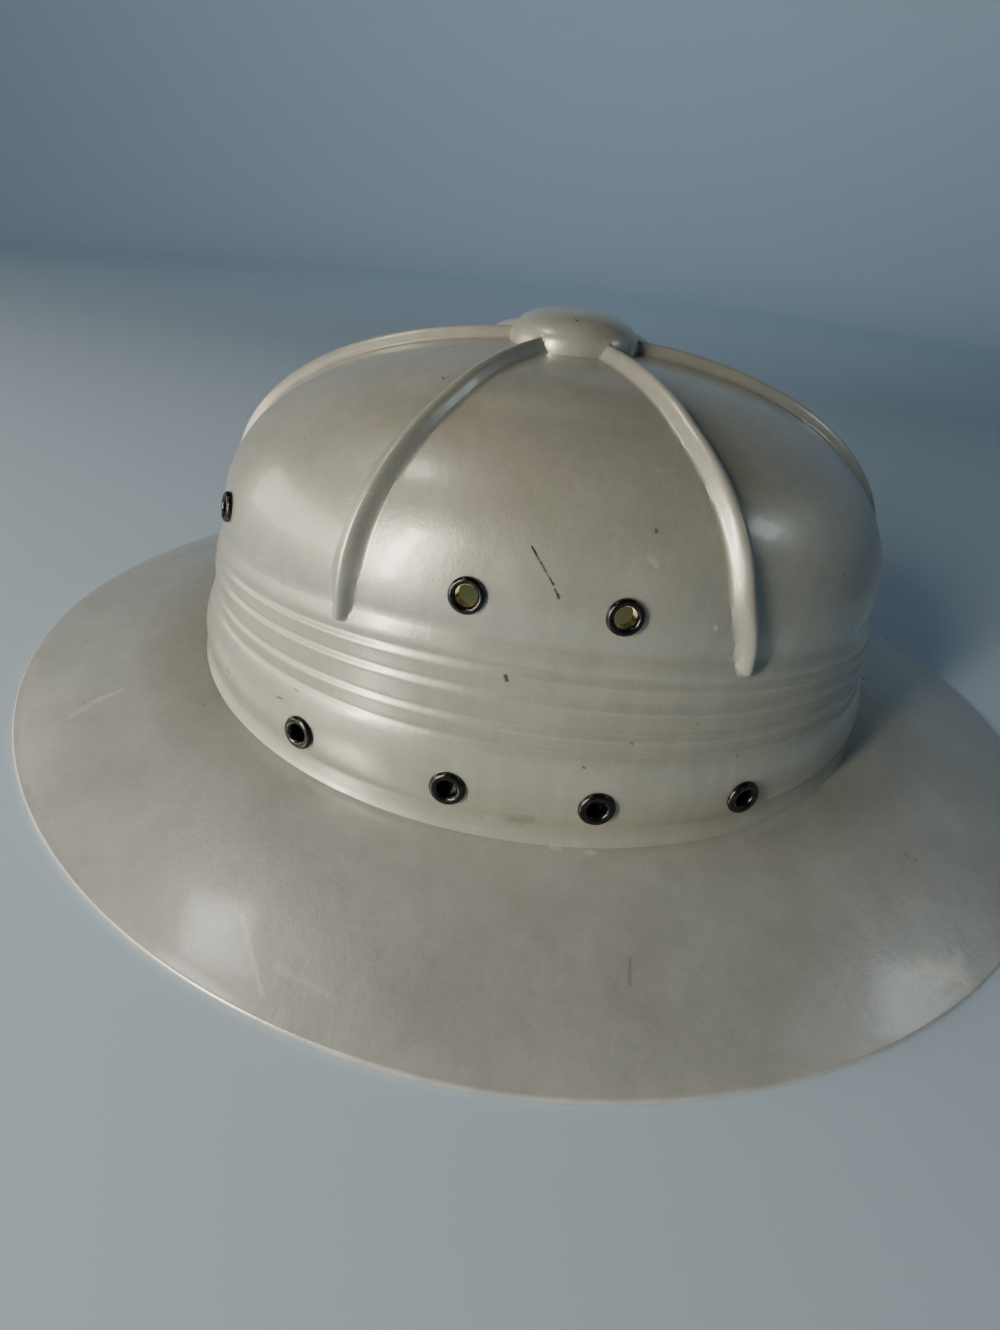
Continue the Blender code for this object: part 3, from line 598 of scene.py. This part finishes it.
    # ribs: distance from the nearest rib's line, which ends round at the band, over the rib's half width
    addNode(tree, "halfPitch", scalar, {0: math.pi, 1: "@sizes.Rib Count"}, operation="DIVIDE")
    addNode(tree, "minusPitch", scalar, {0: "@halfPitch", 1: -1.0}, operation="MULTIPLY")
    addNode(tree, "offRib", scalar, {0: "@ribAngle", 1: "@halfPitch", 2: "@minusPitch"}, operation="WRAP")
    addNode(tree, "sinOff", scalar, {0: "@offRib"}, operation="SINE")
    addNode(tree, "flat", "ShaderNodeCombineXYZ", {"X": "@x", "Y": "@y"})
    addNode(tree, "fromAxis", vector, {0: "@flat"}, operation="LENGTH")
    addNode(tree, "across", scalar, {0: "@fromAxis.Value", 1: "@sinOff"}, operation="MULTIPLY")
    addNode(tree, "short", scalar, {0: "@sizes.Rib End Height", 1: "@profile.Y"}, operation="SUBTRACT")
    addNode(tree, "below", scalar, {0: "@short", 1: 0.0}, operation="MAXIMUM")
    addNode(tree, "capsule", "ShaderNodeCombineXYZ", {"X": "@across", "Y": "@below"})
    addNode(tree, "away", vector, {0: "@capsule"}, operation="LENGTH")
    addNode(tree, "fullWidth", mapRange, {"Value": "@profile.Y", "From Min": "@sizes.Band Top",
            "From Max": "@sizes.Crown Top", "To Min": "@sizes.Rib Width", "To Max": "@sizes.Rib Top Width"})
    addNode(tree, "taperEnd", scalar, {0: "@sizes.Band Top", 1: "@sizes.Rib Taper"}, operation="ADD")
    addNode(tree, "narrowing", mapRange, {"Value": "@profile.Y", "From Min": "@sizes.Band Top",
            "From Max": "@taperEnd", "To Min": "@sizes.Rib End Share", "To Max": 1.0},
            interpolation_type="SMOOTHSTEP")
    addNode(tree, "halfWidth", scalar, {0: "@fullWidth", 1: "@narrowing"}, operation="MULTIPLY")
    addNode(tree, "offShare", scalar, {0: "@away.Value", 1: "@halfWidth"}, operation="DIVIDE")
    # the rib's section, a bead: (1 - share^2)^fullness
    addNode(tree, "offSquare", scalar, {0: "@offShare", 1: "@offShare"}, operation="MULTIPLY")
    addNode(tree, "inside", scalar, {0: 1.0, 1: "@offSquare"}, operation="SUBTRACT")
    addNode(tree, "clipped", scalar, {0: "@inside", 1: 0.0}, operation="MAXIMUM")
    addNode(tree, "bead", scalar, {0: "@clipped", 1: "@sizes.Rib Fullness"}, operation="POWER")
    addNode(tree, "beadHigh", scalar, {0: "@bead", 1: "@sizes.Rib Height"}, operation="MULTIPLY")
    # the ribs run in under the button: what rises above its foot hides them
    addNode(tree, "overFoot", scalar, {0: "@profile.Y", 1: "@sizes.Button Foot"}, operation="SUBTRACT")
    addNode(tree, "cover", scalar, {0: "@overFoot", 1: 0.0}, operation="MAXIMUM")
    addNode(tree, "uncovered", scalar, {0: "@beadHigh", 1: "@cover"}, operation="SUBTRACT")
    # and sink a little where the band's foot comes out under them
    addNode(tree, "overPanel", scalar, {0: "@profile.X", 1: "@sizes.Panel Radius"}, operation="SUBTRACT")
    addNode(tree, "swallow", scalar, {0: "@overPanel", 1: 0.0}, operation="MAXIMUM")
    addNode(tree, "swallowPart", scalar, {0: "@swallow", 1: "@sizes.Rib Sink"}, operation="MULTIPLY")
    addNode(tree, "proud", scalar, {0: "@uncovered", 1: "@swallowPart"}, operation="SUBTRACT")
    addNode(tree, "relief", scalar, {0: "@proud", 1: 0.0}, operation="MAXIMUM")
    # they rise along the dome's outward direction
    addNode(tree, "shareSquare", scalar, {0: "@share", 1: "@share"}, operation="MULTIPLY")
    addNode(tree, "outX", scalar, {0: "@x", 1: "@shareSquare"}, operation="DIVIDE")
    addNode(tree, "aboveBand", scalar, {0: "@profile.Y", 1: "@sizes.Band Top"}, operation="SUBTRACT")
    addNode(tree, "onlyAbove", scalar, {0: "@aboveBand", 1: 0.0}, operation="MAXIMUM")
    addNode(tree, "outZ", scalar, {0: "@onlyAbove", 1: "@sizes.Dome Ratio"}, operation="MULTIPLY")
    addNode(tree, "outward", "ShaderNodeCombineXYZ", {"X": "@outX", "Y": "@y", "Z": "@outZ"})
    addNode(tree, "outwardUnit", vector, {0: "@outward"}, operation="NORMALIZE")
    addNode(tree, "push", vector, {0: "@outwardUnit", "Scale": "@relief"}, operation="SCALE")
    addNode(tree, "final", vector, {0: "@plain", 1: "@push"}, operation="ADD")
    # crease attribute, the mask for the plastic's painted shade: ledges from the profile, and the ribs' feet
    # as far as the button
    addNode(tree, "footOff", scalar, {0: "@offShare", 1: 1.0}, operation="SUBTRACT")
    addNode(tree, "footSize", scalar, {0: "@footOff"}, operation="ABSOLUTE")
    addNode(tree, "ribFoot", mapRange, {"Value": "@footSize", "From Min": 0.0, "From Max": 0.3, "To Min": 0.8,
            "To Max": 0.0})
    addNode(tree, "onCrown", scalar, {0: "@cover", 1: 0.01 * mm}, operation="LESS_THAN")
    addNode(tree, "ribFootOn", scalar, {0: "@ribFoot", 1: "@onCrown"}, operation="MULTIPLY")
    addNode(tree, "creaseValue", scalar, {0: "@ribFootOn", 1: "@profile.Z"}, operation="MAXIMUM")
    addNode(tree, "keepCrease", "GeometryNodeStoreNamedAttribute", {"Geometry": "@grid.Mesh",
            "Name": "crease", "Value": "@creaseValue"}, data_type="FLOAT", domain="POINT")
    addNode(tree, "shape", "GeometryNodeSetPosition", {"Geometry": "@keepCrease", "Position": "@final"})
    # joins the grid's two sides, and its top and bottom rows to points
    addNode(tree, "closed", "GeometryNodeMergeByDistance", {"Geometry": "@shape", "Distance": 0.003 * mm})
    addNode(tree, "smooth", "GeometryNodeSetShadeSmooth", {"Geometry": "@closed"})
    addNode(tree, "realized", "GeometryNodeRealizeInstances", {"Geometry": "@smooth"})
    addNode(tree, "finish", "GeometryNodeSetMaterial", {"Geometry": "@realized",
            "Material": "@sizes.Material"})
    addNode(tree, "out", "NodeGroupOutput", {"Geometry": "@finish"})
    return tree


def makeShell(s):
    profile = innerProfile(s, outerProfile(s))
    mesh = bpy.data.meshes.new("shellProfile")
    mesh.from_pydata([(radius * mm, height * mm, crease) for radius, height, crease in profile],
                     [(k, k + 1) for k in range(len(profile) - 1)], [])
    panel, button = panelRadius(s), s["buttonDiameter"] / 2
    values = {
        "Columns": s["columns"], "Material": satinGreyPolyethylene,
        "Crown Share": s["baseWidth"] / s["baseLength"], "Brim Share": s["brimWidth"] / s["brimLength"],
        "Crown Corner": s["crownCorner"], "Brim Corner": s["brimCorner"],
        "Base Radius": s["baseLength"] / 2 * mm, "Brim Radius": s["brimLength"] / 2 * mm,
        "Button Radius": button * mm, "Button Foot": domeHeight(s, button) * mm,
        "Panel Radius": panel * mm, "Round Top": s["roundTop"] * mm,
        "Dome Ratio": (panel / (s["crownHeight"] - s["bandTop"])) ** 2,
        "Base Height": s["baseHeight"] * mm, "Base Saddle": s["baseSaddle"] * mm,
        "Band Saddle": s["bandSaddle"] * mm, "Band Top": s["bandTop"] * mm,
        "Crown Top": s["crownHeight"] * mm, "Brim Fall": -(s["baseHeight"] - s["wall"]) * mm,
        "Rib Count": float(s["ribCount"]), "Rib Crowding": s["ribCrowding"],
        "Rib Spread": math.radians(s["ribSpread"]), "Rib Lean": math.radians(s["ribLean"]),
        "Lean Top": s["leanTop"] * mm, "Rib Width": s["ribWidth"] / 2 * mm,
        "Rib Top Width": s["ribTopWidth"] / 2 * mm, "Rib Height": s["ribHeight"] * mm,
        "Rib Fullness": s["ribFullness"], "Rib End Share": s["ribEndShare"], "Rib Taper": s["ribTaper"] * mm,
        "Rib End Height": (s["bandTop"] - s["ribOverlap"]) * mm, "Rib Sink": s["ribSink"],
    }
    tree = mouldTree({key: type(value) for key, value in values.items()})
    return growPiece(addObject("shellProfile", mesh), tree, values, "mouldedShell")


shell = makeShell(shellSizes)
print("shell:", len(shell.data.polygons), "faces")


rimSizes = {  # millimetres, but for sides, steps and degrees
    "vent_eyelet": {"flange": 8.3, "hole": 4.9, "closed": False},
    "lower_rivet": {"flange": 9.2, "hole": 4.6, "closed": True},
    "metal": 0.5, "roll": 1.05, "stand": 1.0, "mouth": 0.6, "wall": 2.0, "gap": 0.3,
    "footLift": 0.02, "footSet": 0.05,  # the flange's foot over the shell, and in from its edge
    "clinchEdge": 0.1,
    "boreGap": 0.05, "boreLength": 12.0, "boreSink": 2.0,
    "sides": 40, "rollSteps": 12, "boreSides": 32, "sharpFrom": 50.0,
}


def nodeSeat(name):
    # a flat round node's middle outside, and its axis pointing out of the hat
    mesh = bpy.data.objects[name].data
    places = np.empty(len(mesh.vertices) * 3)
    mesh.vertices.foreach_get("co", places)
    places = np.unique(places.reshape(-1, 3).round(7), axis=0)
    middle = (places.max(0) + places.min(0)) / 2
    axes = np.linalg.svd(places - places.mean(0))[2]
    axis = min(axes, key=lambda a: np.ptp((places - middle) @ a))
    if axis @ (middle * (1, 1, 0)) < 0:
        axis = -axis
    along = (places - middle) @ axis
    radial = (places - middle) - np.outer(along, axis)
    centre = middle + (radial.max(0) + radial.min(0)) / 2
    return Vector(centre + axis * along.max()), Vector(axis)


def rimSection(kind):
    # radius and depth below the roll's top, from the barrel's inner end over the roll to the clinched back
    size, metal, roll = rimSizes[kind], rimSizes["metal"], rimSizes["roll"]
    top = rimSizes["gap"] + rimSizes["stand"]
    back = -(rimSizes["wall"] + rimSizes["gap"])
    hole, reach = size["hole"] / 2, size["flange"] / 2
    barrel, clinch = hole + metal, (hole + metal + reach) / 2
    middle, half = (hole + reach) / 2, (reach - hole) / 2
    lift, edge = rimSizes["footLift"], rimSizes["clinchEdge"]
    points = [(hole, back), (hole, -rimSizes["mouth"])]
    for step in range(rimSizes["rollSteps"] + 1):
        angle = math.pi * (1 - step / rimSizes["rollSteps"])
        points.append((middle + half * math.cos(angle), top - roll + roll * math.sin(angle)))
    points += [(reach - rimSizes["footSet"], lift), (barrel, lift), (barrel, back), (clinch, back + edge),
               (clinch, back - metal * 0.6), (barrel + edge, back - metal)]
    if not size["closed"]:
        points.append((hole, back - metal))
    return [(radius * mm, (height - top) * mm) for radius, height in points]


def makeRim(kind):
    # the section turned round, its back closed by a disc or left open
    section, sides, closed = rimSection(kind), rimSizes["sides"], rimSizes[kind]["closed"]
    bm = bmesh.new()
    loops = []
    for side in range(sides):
        angle = 2 * math.pi * side / sides
        loops.append([bm.verts.new((r * math.cos(angle), r * math.sin(angle), z)) for r, z in section])
    for side in range(sides):
        here, there = loops[side], loops[(side + 1) % sides]
        for k in range(len(section) - 1):
            bm.faces.new((here[k], here[k + 1], there[k + 1], there[k]))
        if not closed:
            bm.faces.new((here[-1], here[0], there[0], there[-1]))
    if closed:
        bm.faces.new([loop[0] for loop in loops])
        bm.faces.new([loop[-1] for loop in loops])
    bmesh.ops.recalc_face_normals(bm, faces=bm.faces)
    mesh = meshFrom(bm, kind + "Rim")
    mesh.shade_smooth()
    mesh.set_sharp_from_angle(angle=math.radians(rimSizes["sharpFrom"]))
    return addObject(kind + "Rim", mesh)


def rimTree():
    # sets a rim on each seat, turned to the seat's outward axis
    tree = startTree("setRims", {"Rim": bpy.types.Object, "Rim Scale": float, "Material": bpy.types.Material})
    addNode(tree, "body", "GeometryNodeObjectInfo", {"Object": "@sizes.Rim"})
    addNode(tree, "axis", "GeometryNodeInputNamedAttribute", {"Name": "outward"}, data_type="FLOAT_VECTOR")
    addNode(tree, "facing", "FunctionNodeAlignRotationToVector", {"Vector": "@axis"}, axis="Z")
    addNode(tree, "placed", "GeometryNodeInstanceOnPoints", {"Points": "@sizes.Geometry",
            "Instance": "@body.Geometry", "Rotation": "@facing", "Scale": "@sizes.Rim Scale"})
    addNode(tree, "realized", "GeometryNodeRealizeInstances", {"Geometry": "@placed"})
    addNode(tree, "finish", "GeometryNodeSetMaterial", {"Geometry": "@realized",
            "Material": "@sizes.Material"})
    addNode(tree, "out", "NodeGroupOutput", {"Geometry": "@finish"})
    return tree


def setRims(kind, name, seats, tree):
    mesh = bpy.data.meshes.new(name + "Seats")
    mesh.from_pydata([tuple(place) for place, _ in seats], [], [])
    outward = mesh.attributes.new("outward", "FLOAT_VECTOR", "POINT")
    for k, (_, axis) in enumerate(seats):
        outward.data[k].vector = axis
    rim = makeRim(kind)
    made = growPiece(addObject(name + "Seats", mesh), tree,
                     {"Rim": rim, "Rim Scale": 1.0, "Material": glossBlackEnamel}, name)
    bpy.data.objects.remove(rim)
    return made


ventNodes = sorted(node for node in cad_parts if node.startswith("vent_eyelet"))
rivetNodes = sorted(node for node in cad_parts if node.startswith("lower_rivet"))
ventSeats = [nodeSeat(node) for node in ventNodes]
rivetSeats = [nodeSeat(node) for node in rivetNodes]
rims = rimTree()
vents = setRims("vent_eyelet", "ventEyelets", ventSeats, rims)
rivets = setRims("lower_rivet", "lowerRivets", rivetSeats, rims)
print("rims set:", len(ventSeats), "eyelets and", len(rivetSeats), "rivets")


def boreHoles(target, seatsByKind, name):
    # the shell's holes for the barrels
    bm = bmesh.new()
    for kind, seats in seatsByKind.items():
        radius = (rimSizes[kind]["hole"] / 2 + rimSizes["metal"] + rimSizes["boreGap"]) * mm
        for place, axis in seats:
            turn = axis.to_track_quat("Z", "Y").to_matrix().to_4x4()
            bmesh.ops.create_cone(bm, cap_ends=True, segments=rimSizes["boreSides"], radius1=radius,
                                  radius2=radius, depth=rimSizes["boreLength"] * mm,
                                  matrix=Matrix.Translation(place - axis * rimSizes["boreSink"] * mm) @ turn)
    cutter = addObject("barrels", meshFrom(bm, "barrels"))
    cut = target.modifiers.new("barrels", "BOOLEAN")
    cut.operation = "DIFFERENCE"
    cut.solver = "EXACT"
    cut.object = cutter
    made = bakeObject(target, name)
    bpy.data.objects.remove(cutter)
    made.data.set_sharp_from_angle(angle=math.radians(shellSizes["sharpFrom"]))
    return made


shell = boreHoles(shell, {"vent_eyelet": ventSeats, "lower_rivet": rivetSeats}, "helmetShell")
print("holes bored:", len(shell.data.polygons), "faces")

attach(shell, "root")
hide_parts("shell")
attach(vents, "root")
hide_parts(*ventNodes)
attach(rivets, "root")
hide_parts(*rivetNodes)


studio = {
    "floor": "#B3C9DC", "patchMm": 166.7,
    "radius": 1.9, "middle": 0.76, "wall": 1.6, "sweep": 0.6,  # metres
    "sides": 96, "sweepSteps": 12,
    "world": "#86A5C6", "worldStrength": 0.035,
}


def mattPaint(s):
    # matt emulsion paint: an even pale ground, a shade duller here and there
    paint = bpy.data.materials.new("mattPalePaint")
    paint.use_nodes = True
    tree = paint.node_tree
    addNode(tree, "spot", "ShaderNodeTexCoord")
    addNode(tree, "uneven", "ShaderNodeTexNoise", {"Vector": "@spot.Object", "Scale": 1000 / s["patchMm"],
            "Detail": 3.0})
    addNode(tree, "dull", "ShaderNodeMapRange", {"Value": "@uneven.Fac", "To Min": 0.62, "To Max": 0.78})
    fillSockets(tree, tree.nodes["Principled BSDF"], {"Base Color": toLinear(s["floor"]),
                                                      "Roughness": "@dull.Result"})
    return paint


def makeSweep(s):
    # a round floor that turns up into a wall, so that every side has the same plain ground
    inner = s["radius"] - s["sweep"]
    profile = [(s["middle"], 0.0), (inner, 0.0)]
    for step in range(1, s["sweepSteps"] + 1):
        angle = math.pi / 2 * step / s["sweepSteps"]
        profile.append((inner + s["sweep"] * math.sin(angle), s["sweep"] * (1 - math.cos(angle))))
    profile.append((s["radius"], s["wall"]))
    bm = bmesh.new()
    turns = np.linspace(0, 2 * math.pi, s["sides"], endpoint=False)
    rings = [[bm.verts.new((radius * math.cos(a), radius * math.sin(a), height)) for a in turns]
             for radius, height in profile]
    bm.faces.new(rings[0])
    for lower, upper in zip(rings, rings[1:]):
        for k in range(s["sides"]):
            n = (k + 1) % s["sides"]
            bm.faces.new((lower[k], upper[k], upper[n], lower[n]))
    mesh = meshFrom(bm, "studioSweep")
    mesh.shade_smooth()
    mesh.materials.append(mattPaint(s))
    return addObject("studioSweep", mesh)


sweep = makeSweep(studio)

world = bpy.data.worlds.new("studioWorld")
world.use_nodes = True
fillSockets(world.node_tree, world.node_tree.nodes["Background"],
            {"Color": toLinear(studio["world"]), "Strength": studio["worldStrength"]})
bpy.context.scene.world = world

# window draws the bright streak, sideWash lights the front softly, ribLight lines the rear ribs, and
# insideGlow is seen through the vents: name, place, aim, width, height, watts, colour
lamps = [
    ("window", (0.67, -0.59, 0.31), (0.05, -0.03, 0.05), 0.09, 0.62, 9.6, "#FFF2DF"),
    ("sideWash", (0.25, -1.10, 0.24), (0.0, -0.05, 0.05), 1.30, 0.42, 5.7, "#FFEFDA"),
    ("ribLight", (0.02, 0.82, 0.68), (0.0, 0.0, 0.06), 0.15, 0.15, 0.3, "#DDE8F4"),
    ("brimLight", (0.08, -0.59, 1.00), (0.06, -0.12, 0.01), 0.17, 0.17, 1.0, "#FFF6EA"),
    ("backdropLight", (-0.70, 0.0, 0.95), (-1.90, 0.0, 0.75), 0.90, 0.40, 3.2, "#EAF1F8"),
    ("insideGlow", (0.0, 0.0, 0.006), (0.0, 0.0, 0.1), 0.10, 0.08, 0.07, "#FFE2A6"),
]
for name, place, aim, width, height, watts, colour in lamps:
    light = bpy.data.lights.new(name, "AREA")
    light.shape = "RECTANGLE"
    light.size, light.size_y = width, height
    light.energy = watts
    light.color = toLinear(colour)[:3]
    lamp = addObject(name, light)
    lamp.location = place
    lamp.rotation_euler = (Vector(place) - Vector(aim)).to_track_quat("Z", "Y").to_euler()
print("studio lit")
